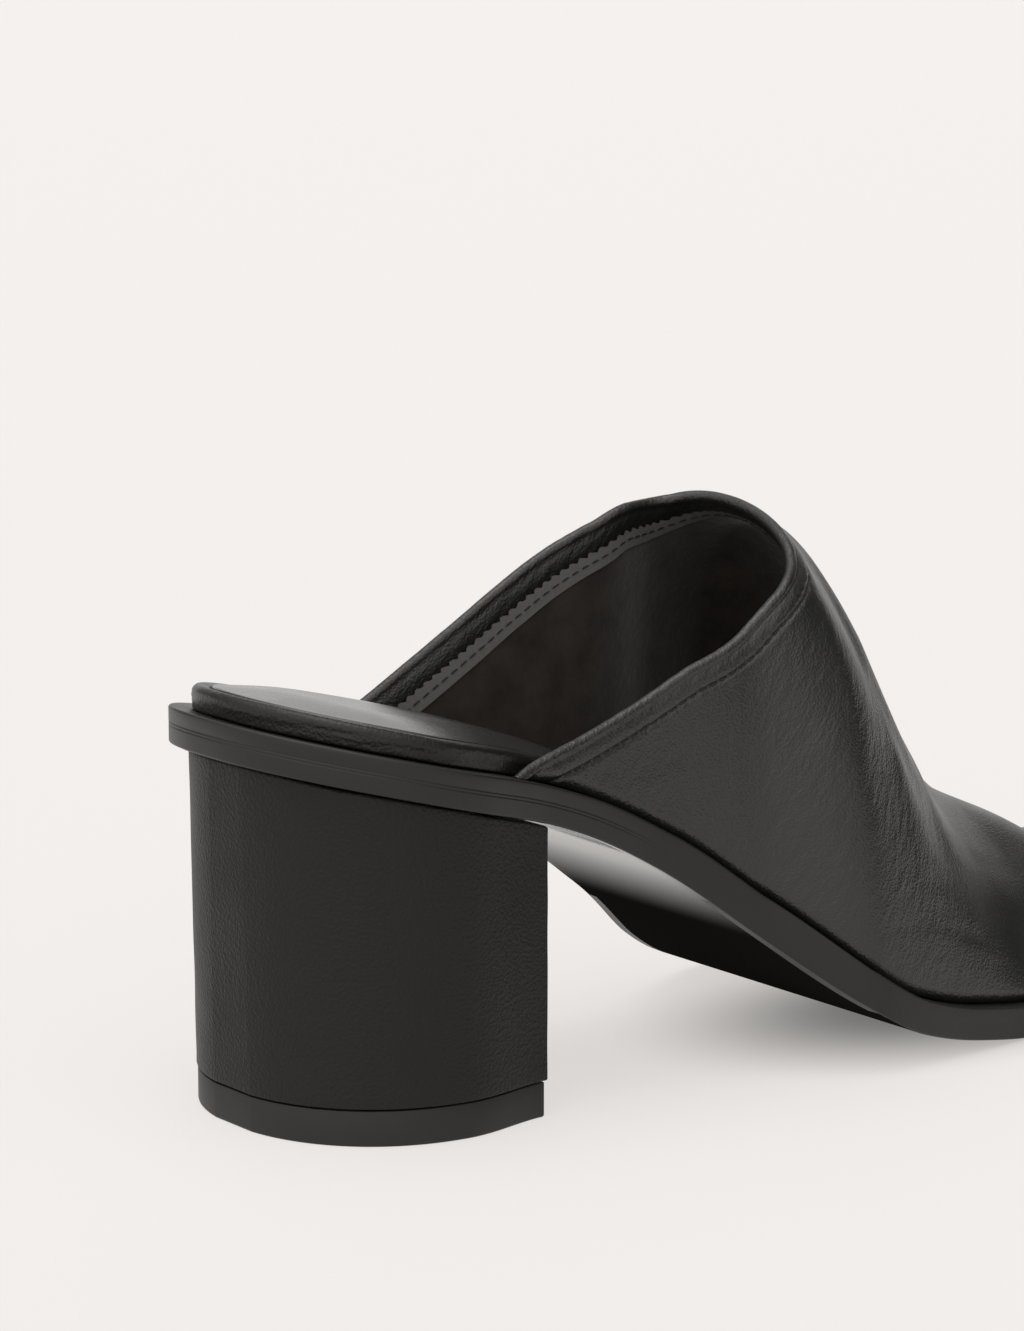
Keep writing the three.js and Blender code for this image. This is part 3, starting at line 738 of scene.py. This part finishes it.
# Footbed and sock
board_height_curve = column(BOARD_PROFILE, lambda r: r[1] * RIM_HEIGHT + r[2] * BOARD_FOREPART_HEIGHT)
board_inside = column(BOARD_PROFILE, lambda r: r[3])
board_toe = curve([0, 0.5, 0.8, 1], [0, 0, 1, 1])


def board_inset(u):
    inside = UPPER_INSET + UPPER_WALL + JOINT_GAP + BOARD_SIDE_ROOM
    share = board_inside(u / SOLE_LENGTH)
    return RIM_INSET + (inside - RIM_INSET) * share + BOARD_TOE_ROOM * board_toe(u / SOLE_LENGTH)


def board_plan(extra, count=420):
    back = RIM_INSET + extra
    front = SOLE_LENGTH - board_inset(SOLE_LENGTH) - extra
    share = (1 - np.cos(np.pi * np.linspace(0, 1, count // 2 + 1))) / 2
    u = back + (front - back) * share
    inset = board_inset(u) + extra
    return ring_of(u, sole_edge(u, 1, inset), sole_edge(u, -1, inset))


def board_bottom(u):
    return sole_thickness(u) + JOINT_GAP


def board_top(u):
    return board_bottom(u) + board_height_curve(u / SOLE_LENGTH)


def build_footbed():
    plan = board_plan(0)
    u = plan[:, 0]
    length = arc_length(plan)
    low, high = board_bottom(u), board_top(u)
    loops = []
    for share in np.linspace(0, 1, 9)[:-1]:
        crease = 0.11 * noise_a(length / 5.0, share * 5) + 0.06 * noise_b(length / 1.9, share * 9)
        side = drawn_in(plan, crease * (0.3 + share) + 0.08)
        loops.append(lifted(side, over_underside(u, low + (high - RIM_ROUND - low) * share)))
    for inset, height in fillet(RIM_ROUND, 7, 0.0, True):
        crease = 0.05 * noise_b(length / 2.4, height * 3)
        loops.append(lifted(drawn_in(plan, inset + crease + 0.05), over_underside(u, high + height)))
    recess = board_plan(SOCK_INSET - JOINT_GAP)
    v = recess[:, 0]
    for inset, depth in RECESS_STEPS:
        loops.append(lifted(drawn_in(recess, inset), over_underside(v, board_top(v) - depth)))
    points, faces = stacked_solid(loops, 12, lambda a, b: over_underside(a, board_top(a) - SOCK_RECESS))
    add_mesh("footbed_rim", points, faces, rim_leather, "footbed")


sock_padding = column(SOCK_PADDING, lambda r: r[1])


def sock_bed(u):
    return board_top(u) - SOCK_RECESS + JOINT_GAP


def build_sock():
    """The padded sock: its top rises softly from the edge towards the middle."""
    plan = board_plan(SOCK_INSET + SOCK_PLAY)
    u = plan[:, 0]
    loops = [lifted(plan, over_underside(u, sock_bed(u)))]
    for inset, height in fillet(SOCK_ROUND, 6, 0.0, True):
        top = sock_bed(u) + SOCK_THICKNESS
        loops.append(lifted(drawn_in(plan, inset), over_underside(u, top + height)))
    for share in np.linspace(0, 1, SOCK_CROWN_ROWS + 1)[1:]:
        ring = board_plan(SOCK_INSET + 0.5 + SOCK_CROWN_REACH * share)
        v = ring[:, 0]
        rise = SOCK_CROWN * sock_padding(v / SOLE_LENGTH) * math.sin(math.pi / 2 * share)
        loops.append(lifted(ring, over_underside(v, sock_bed(v) + SOCK_THICKNESS + rise)))

    def top_of(a, b):
        crown = SOCK_CROWN * sock_padding(a / SOLE_LENGTH)
        return over_underside(a, sock_bed(a) + SOCK_THICKNESS + crown)

    points, faces = stacked_solid(loops, 16, top_of)
    sock = add_mesh("sock", points, faces, sock_leather, "insole_sock")


build_footbed()
build_sock()


# Upper
ridge_rise = column(UPPER_SECTIONS, lambda r: r[1] * r[2])
ridge_shift = column(UPPER_SECTIONS, lambda r: r[3] * BALL_WIDTH)
outer_wall = column(UPPER_SECTIONS, lambda r: r[4])
outer_crown = column(UPPER_SECTIONS, lambda r: r[5])
inner_wall = column(UPPER_SECTIONS, lambda r: r[6])
inner_crown = column(UPPER_SECTIONS, lambda r: r[7])
collar_station = column(COLLAR_EDGE, lambda r: r[1] * SOLE_LENGTH)
UPPER_TOE = SOLE_LENGTH - UPPER_INSET


def foot_height(u):
    return over_underside(u, sole_thickness(u) + JOINT_GAP)


def upper_point(u, s):
    """Outer face of the upper: s runs from -1, the inner side's foot, over 0, the ridge, to 1."""
    u, s = np.broadcast_arrays(np.asarray(u, float), np.asarray(s, float))
    share = u / SOLE_LENGTH
    is_outer = s >= 0
    foot = sole_edge(u, np.where(is_outer, 1, -1), UPPER_INSET)
    dome = (u - (UPPER_TOE - TOE_DOME_LENGTH)) / TOE_DOME_LENGTH
    rise = ridge_rise(share) * rounded(dome, TOE_DOME_SQUARENESS)
    middle = ridge_shift(share)
    wall = np.where(is_outer, outer_wall(share), inner_wall(share))
    crown = np.where(is_outer, outer_crown(share), inner_crown(share))
    t = 1 - np.abs(s)
    start, lower, higher, end = (1 - t) ** 3, 3 * t * (1 - t) ** 2, 3 * t * t * (1 - t), t**3
    shoulder = middle + (foot - middle) * crown
    across = (start + lower) * foot + higher * shoulder + end * middle
    return np.stack([u, across, foot_height(u) + rise * (lower * wall + higher + end)], -1)


def upper_outward(u, s):
    """Direction square to the outer face, pointing out of the shoe."""
    ahead, back = upper_point(np.minimum(u + 0.4, UPPER_TOE), s), upper_point(u - 0.4, s)
    right, left = upper_point(u, np.minimum(s + 0.004, 1)), upper_point(u, np.maximum(s - 0.004, -1))
    out = np.cross(ahead - back, right - left)
    return out / (np.linalg.norm(out, axis=-1, keepdims=True) + 1e-12)


def distance_to(points, line):
    """Distance of every point to a line of points."""
    flat = points.reshape(-1, 3)
    out = np.empty(len(flat))
    for i in range(0, len(flat), 4000):
        part = flat[i : i + 4000]
        out[i : i + 4000] = np.sqrt(((part[:, None, :] - line[None]) ** 2).sum(-1)).min(1)
    return out.reshape(points.shape[:-1])


away = 1 - np.abs(np.arange(-SIDE_COLUMNS, SIDE_COLUMNS + 1)) / SIDE_COLUMNS
columns = np.sign(np.arange(-SIDE_COLUMNS, SIDE_COLUMNS + 1)) * (1 - away**1.35)


def collar_line(s):
    """Station of the collar's edge, evened out between the rows of its table."""
    reach = np.minimum(0.12, (1 - np.abs(s)) * 0.5)
    return sum(collar_station(s + reach * k / 3) for k in range(-3, 4)) / 7


edge_stations = collar_line(columns)
edge_line = upper_point(edge_stations, columns)
fine = np.linspace(-1, 1, 1201)
fine = np.sign(fine) * (1 - (1 - np.abs(fine)) ** 1.35)
fine_edge = upper_point(collar_line(fine), fine)


def station_at(distance):
    """For each column the station that lies a distance from the collar's edge, measured straight."""
    near = edge_stations.copy()
    far = near + 40
    for _ in range(16):
        middle = (near + far) / 2
        inside = distance_to(upper_point(middle, columns), fine_edge) < distance
        near, far = np.where(inside, middle, near), np.where(inside, far, middle)
    return near


def rows_to(front, last, count):
    """Stations from the last row to the front, closer together towards the front."""
    share = np.linspace(0, 1, count + 1)[1:]
    share = 0.35 * share + 0.65 * np.sin(np.pi / 2 * share)
    return [last + (front - last) * k for k in share]


band_stations = [station_at(d) for d in BAND_ROWS]
front_stations = rows_to(UPPER_TOE, band_stations[-1], FRONT_ROWS)
outer_stations = np.array([edge_stations] + band_stations + front_stations)
outer_across = np.broadcast_to(columns, outer_stations.shape)
outer_face = upper_point(outer_stations, outer_across)
outward = upper_outward(outer_stations, outer_across)
from_edge = distance_to(outer_face, fine_edge)


def crease_height(x, y):
    total = np.zeros_like(x)
    for (x0, y0), (x1, y1), height, width in CREASES:
        along = np.array([x1 - x0, y1 - y0], float)
        length = np.linalg.norm(along)
        along /= length
        t = (x - x0) * along[0] + (y - y0) * along[1]
        away = (x - x0) * along[1] - (y - y0) * along[0] + 0.8 * noise_a(t / 14, 2.0)
        total += height * bell(away, width) * smooth(t, -9, 7) * (1 - smooth(t, length - 7, length + 9))
    return total


def wrinkles(points, s, d):
    """Height of the creases on the outer face: soft folds listed one by one, and finer waves between them.
    """
    x, y = points[..., 0], points[..., 2]
    # the finer waves turn round a point behind the collar, and run level before the ball
    reach = np.hypot(x - 30, (y - 118) * 1.1)
    turn = np.arctan2(118 - y, x - 30)
    sway = 1.8 * noise_a(x / 15, y / 13) + 0.7 * noise_b(x / 6, y / 6)
    arcs = 0.6 * noise_c((reach + sway) / 3.0, turn * 7)
    arcs = arcs + 0.6 * noise_d((reach + sway) / 5.2, turn * 5 + 7)
    slope = y + 0.3 * (x - 120)
    level = noise_d((slope + sway * 0.8) / 2.8, x / 9.0 + 3)
    side = smooth(np.abs(s), 0.1, 0.35)
    patch = 0.5 + 0.5 * noise_b(x / 13, y / 12)
    quarter = smooth(d, 6.5, 13) * (1 - smooth(d, 34, 60)) * side
    ball = bell(x - 146, 22) * bell(y - 25, 13) * side
    rise = 0.15 * quarter * arcs * (0.4 + 0.8 * patch) + 0.14 * ball * level
    rise += 0.07 * noise_c(x / 8 + 4, y / 8 + np.sign(s) * 9) * smooth(d, 6, 14)
    outer = smooth(s, 0.02, 0.16)
    return rise + crease_height(x, y) * outer * smooth(d, 5, 12)


def turned_in(points):
    """How far the leather draws in where it meets the sole."""
    height = np.maximum(points[..., 2] - foot_height(points[..., 0]), 0)
    return -1.15 * (1 - np.clip(height / 2.6, 0, 1)) ** 2.2


def collar_profile(d, run):
    """Height of the collar band over the outer face, at a distance from the edge and a run
    along it: a puffed band, and a groove where the stitches lie."""
    across_band = np.clip((d - 1.7) / (STITCH_LINE - 1.3), 0, 1)
    puff = 0.42 * np.clip(np.sin(np.pi * across_band), 0, 1) ** 0.8
    groove = -0.38 * bell(d - STITCH_LINE, 0.36)
    shoulder = 0.07 * bell(d - STITCH_LINE - 1.0, 0.7)
    between = 0.5 - 0.5 * np.cos(2 * np.pi * run / STITCH_PITCH)
    pucker = -0.1 * between * bell(d - STITCH_LINE, 0.8)
    return puff + groove + shoulder + pucker


edge_length = arc_length(edge_line)
length_grid = np.broadcast_to(edge_length, from_edge.shape)
relief = collar_profile(from_edge, length_grid) + wrinkles(outer_face, outer_across, from_edge)
relief += turned_in(outer_face)
outer_skin = outer_face + outward * relief[..., None]

# the rolled bead stands on the collar's edge: square to the edge line, from the outer face over to the inner
tangent = np.gradient(edge_line, axis=0)
tangent /= np.linalg.norm(tangent, axis=1, keepdims=True)
edge_out = outward[0]
into = upper_point(station_at(1.0), columns) - edge_line
into -= (into * tangent).sum(1, keepdims=True) * tangent
into -= (into * edge_out).sum(1, keepdims=True) * edge_out
into /= np.linalg.norm(into, axis=1, keepdims=True) + 1e-12
bead_centre = edge_line + into * BEAD - edge_out * (UPPER_WALL / 2 - 0.25)
bead_wrinkle = 0.05 * np.maximum(0, noise_c(edge_length / 0.8, 5.0)) + 0.03 * noise_b(edge_length / 2.0, 1.0)
angles = np.radians(np.linspace(-20, 200, 20))
bead = []
for angle in angles:
    swell = np.full_like(edge_length, BEAD)
    if 0 < angle < math.pi:
        swell = swell + bead_wrinkle * math.sin(angle) ** 2
    spoke = edge_out * math.cos(angle) - into * math.sin(angle)
    bead.append(bead_centre + spoke * swell[:, None])
bead = np.array(bead)

# the leather turns in as a band on the inner face
inner_band = []
for d in INNER_ROWS:
    st = station_at(d)
    inward = upper_outward(st, columns)
    puff = 0.3 * math.sin(math.pi * min(1, max(0, (d - 1.9) / 3.8))) ** 0.7
    inner_band.append(upper_point(st, columns) - inward * (UPPER_WALL + puff))
st = station_at(INNER_BAND_END)
inner_band.append(upper_point(st, columns) - upper_outward(st, columns) * (UPPER_WALL - 0.35))

# one sheet from the toe to the collar, over the bead and down the inner face; the first band
# rows lie under the bead and are left out
skin_rows = np.concatenate([outer_skin[: HIDDEN_BAND_ROWS - 1 : -1], bead, np.array(inner_band)])


def rest_on_sole(points):
    """No point of the upper goes under its foot line."""
    floor = foot_height(points[..., 0]) - 0.2
    points[..., 2] = np.maximum(points[..., 2], floor)
    return points


skin_rows = rest_on_sole(skin_rows)
rows, cols = skin_rows.shape[:2]
faces = grid_faces(rows, cols)
add_mesh("upper_skin", skin_rows.reshape(-1, 3), faces, upper_leather, "upper")

# lining, from under the turned-in band to the toe
lining_stations = [station_at(d) for d in LINING_ROWS]
lining_stations += rows_to(UPPER_TOE - LINING_TOE_GAP, lining_stations[-1], LINING_FRONT_ROWS)
thin = columns[::2]
lining = []
for st in lining_stations:
    part = st[::2]
    inward = upper_outward(part, thin)
    lining.append(upper_point(part, thin) - inward * UPPER_WALL)
lining = rest_on_sole(np.array(lining))
rows, cols = lining.shape[:2]
add_mesh("upper_lining", lining.reshape(-1, 3), grid_faces(rows, cols), lining_suede, None)

# tape with a zigzag edge, stitched over the lining's start
tape = []
zigzag = 0.55 * (np.abs((edge_length / ZIGZAG_PITCH) % 1 - 0.5) * 4 - 1)
for d in TAPE_ROWS:
    st = station_at(d)
    tape.append(upper_point(st, columns) - upper_outward(st, columns) * (UPPER_WALL + TAPE_RAISE))
tape = np.array(tape)
wave = zigzag[:, None] * (tape[0] - tape[-1]) / (TAPE_ROWS[-1] - TAPE_ROWS[0])
tape[0] += wave * 0.9
tape = rest_on_sole(tape)
rows, cols = tape.shape[:2]
add_mesh("collar_tape", tape.reshape(-1, 3), grid_faces(rows, cols), tape_cloth, None)


# Stitches
def stitch_row(name, distance, lift, length, radius):
    """Short threads sunk in the leather along a line that lies a distance from the collar's edge."""
    st = station_at(distance)
    line = upper_point(st, columns)
    out = upper_outward(st, columns)
    line = line + out * lift
    keep = line[:, 2] > foot_height(line[:, 0]) + STITCH_END
    line, out = line[keep], out[keep]
    run = arc_length(line)
    starts = np.arange(STITCH_END, run[-1] - length - STITCH_END, STITCH_PITCH)
    points, faces = [], []
    sides, rings = STITCH_SIDES, STITCH_RINGS
    for at in starts:
        middle = [np.interp(at + length / 2, run, line[:, k]) for k in range(3)]
        ahead = np.array([np.interp(at + length, run, line[:, k]) for k in range(3)])
        behind = np.array([np.interp(at, run, line[:, k]) for k in range(3)])
        up = np.array([np.interp(at + length / 2, run, out[:, k]) for k in range(3)])
        along = (ahead - behind) / np.linalg.norm(ahead - behind)
        up = up - along * (up @ along)
        up /= np.linalg.norm(up)
        across = np.cross(along, up)
        base = len(points)
        for j, t in enumerate(np.linspace(-1, 1, rings)):
            size = radius * max(0.25, math.sqrt(max(0, 1 - t**4)))
            centre = np.array(middle) + along * (t * length / 2) - up * (0.16 * t * t)
            for k in range(sides):
                turn = 2 * math.pi * k / sides
                points.append(centre + (up * math.cos(turn) * 0.8 + across * math.sin(turn)) * size)
        for j in range(rings - 1):
            for k in range(sides):
                n = (k + 1) % sides
                low, high = base + j * sides, base + (j + 1) * sides
                faces.append((low + k, low + n, high + n, high + k))
        last = base + (rings - 1) * sides
        faces.append(tuple(base + k for k in range(sides))[::-1])
        faces.append(tuple(last + k for k in range(sides)))
    add_mesh(name, np.array(points), faces, thread_black, None)


# name, distance from the edge, lift from the outer face, length and radius of a stitch
stitch_row("collar_stitches", STITCH_LINE, -0.12, 1.75, 0.24)
stitch_row("lining_stitches", LINING_STITCH_LINE, -UPPER_WALL - 0.3, 1.6, 0.18)

# Floor and light
# the floor glows evenly, apart from a painted shadow cut into its glow under the shoe
floor_material, shader = new_material("pale_floor", (0.2, 0.198, 0.196), 0.8, 0.05)
shader.inputs["Emission Color"].default_value = (0.887, 0.855, 0.831, 1)
where = place_of(floor_material)
painted_shadow_place = add_node(floor_material, "ShaderNodeMapping")
# painted shadow in the floor's glow under the shoe: its centre about 160 mm forward of the heel's back; 45
# mm by 75 mm
painted_shadow_place.inputs["Location"].default_value = (0.2, 0.606, 0)
painted_shadow_place.inputs["Scale"].default_value = (22.2, 13.3, 13.3)
link(floor_material, where, painted_shadow_place.inputs["Vector"])
painted_shadow = add_node(floor_material, "ShaderNodeTexGradient")
painted_shadow.gradient_type = "SPHERICAL"
link(floor_material, painted_shadow_place.outputs["Vector"], painted_shadow.inputs["Vector"])
tree = floor_material.node_tree
# the glow falls from 0.715 round about to 0.2 in the middle of the painted shadow
glow_with_painted_shadow = soft_ramp(tree.nodes, tree.links, painted_shadow.outputs["Fac"], 0.0, 0.8, 0.715, 0.2)
link(floor_material, glow_with_painted_shadow, shader.inputs["Emission Strength"])
bump(floor_material, shader, [(noise_height(floor_material, where, 80.0, 2.0), 0.0001, 0.05)])


def stage_floor():
    """A flat floor that runs on far behind the shoe."""
    points = [(-4, 4, 0), (-4, -14, 0), (16, -14, 0), (16, 4, 0)]
    mesh = bpy.data.meshes.new("floor")
    mesh.from_pydata(points, [], [(0, 1, 2, 3)])
    mesh.materials.append(floor_material)
    obj = bpy.data.objects.new("floor", mesh)
    bpy.context.scene.collection.objects.link(obj)


stage_floor()

SUN_POWER = 1.0
SUN_WIDTH = 50
SUN_FROM = (0.1, 0.12, 1.0)
sun_data = bpy.data.lights.new("soft_top", "SUN")
sun_data.energy = SUN_POWER
sun_data.angle = math.radians(SUN_WIDTH)
sun = bpy.data.objects.new("soft_top", sun_data)
sun.rotation_euler = (-Vector(SUN_FROM)).to_track_quat("-Z", "Y").to_euler()
bpy.context.scene.collection.objects.link(sun)

# the studio: light from above and from behind the shoe, dim on the camera's side
world = bpy.data.worlds.new("studio")
world.use_nodes = True
sky = world.node_tree
sky_light = sky.nodes["Background"]
sky_light.inputs["Color"].default_value = (1.0, 0.975, 0.955, 1)
sky_place = sky.nodes.new("ShaderNodeTexCoord")


def sky_lobe(towards, start, end, low, high):
    """Light that grows from low to high as the direction turns towards one side of the sky."""
    facing = sky.nodes.new("ShaderNodeVectorMath")
    facing.operation = "DOT_PRODUCT"
    facing.inputs[1].default_value = towards
    sky.links.new(sky_place.outputs["Generated"], facing.inputs[0])
    return soft_ramp(sky.nodes, sky.links, facing.outputs["Value"], start, end, low, high)


# a broad light above and behind the shoe, and a pale backdrop low behind it
sky_total = sky.nodes.new("ShaderNodeMath")
sky_total.operation = "ADD"
sky.links.new(sky_lobe((-0.3, 0.6, 0.74), -0.15, 1.0, 0.05, 1.5), sky_total.inputs[0])
sky.links.new(sky_lobe((0.8, -0.59, 0.1), 0.75, 0.97, 0.0, 1.0), sky_total.inputs[1])
sky.links.new(sky_total.outputs["Value"], sky_light.inputs["Strength"])
bpy.context.scene.world = world
bpy.context.scene.view_settings.view_transform = "Standard"
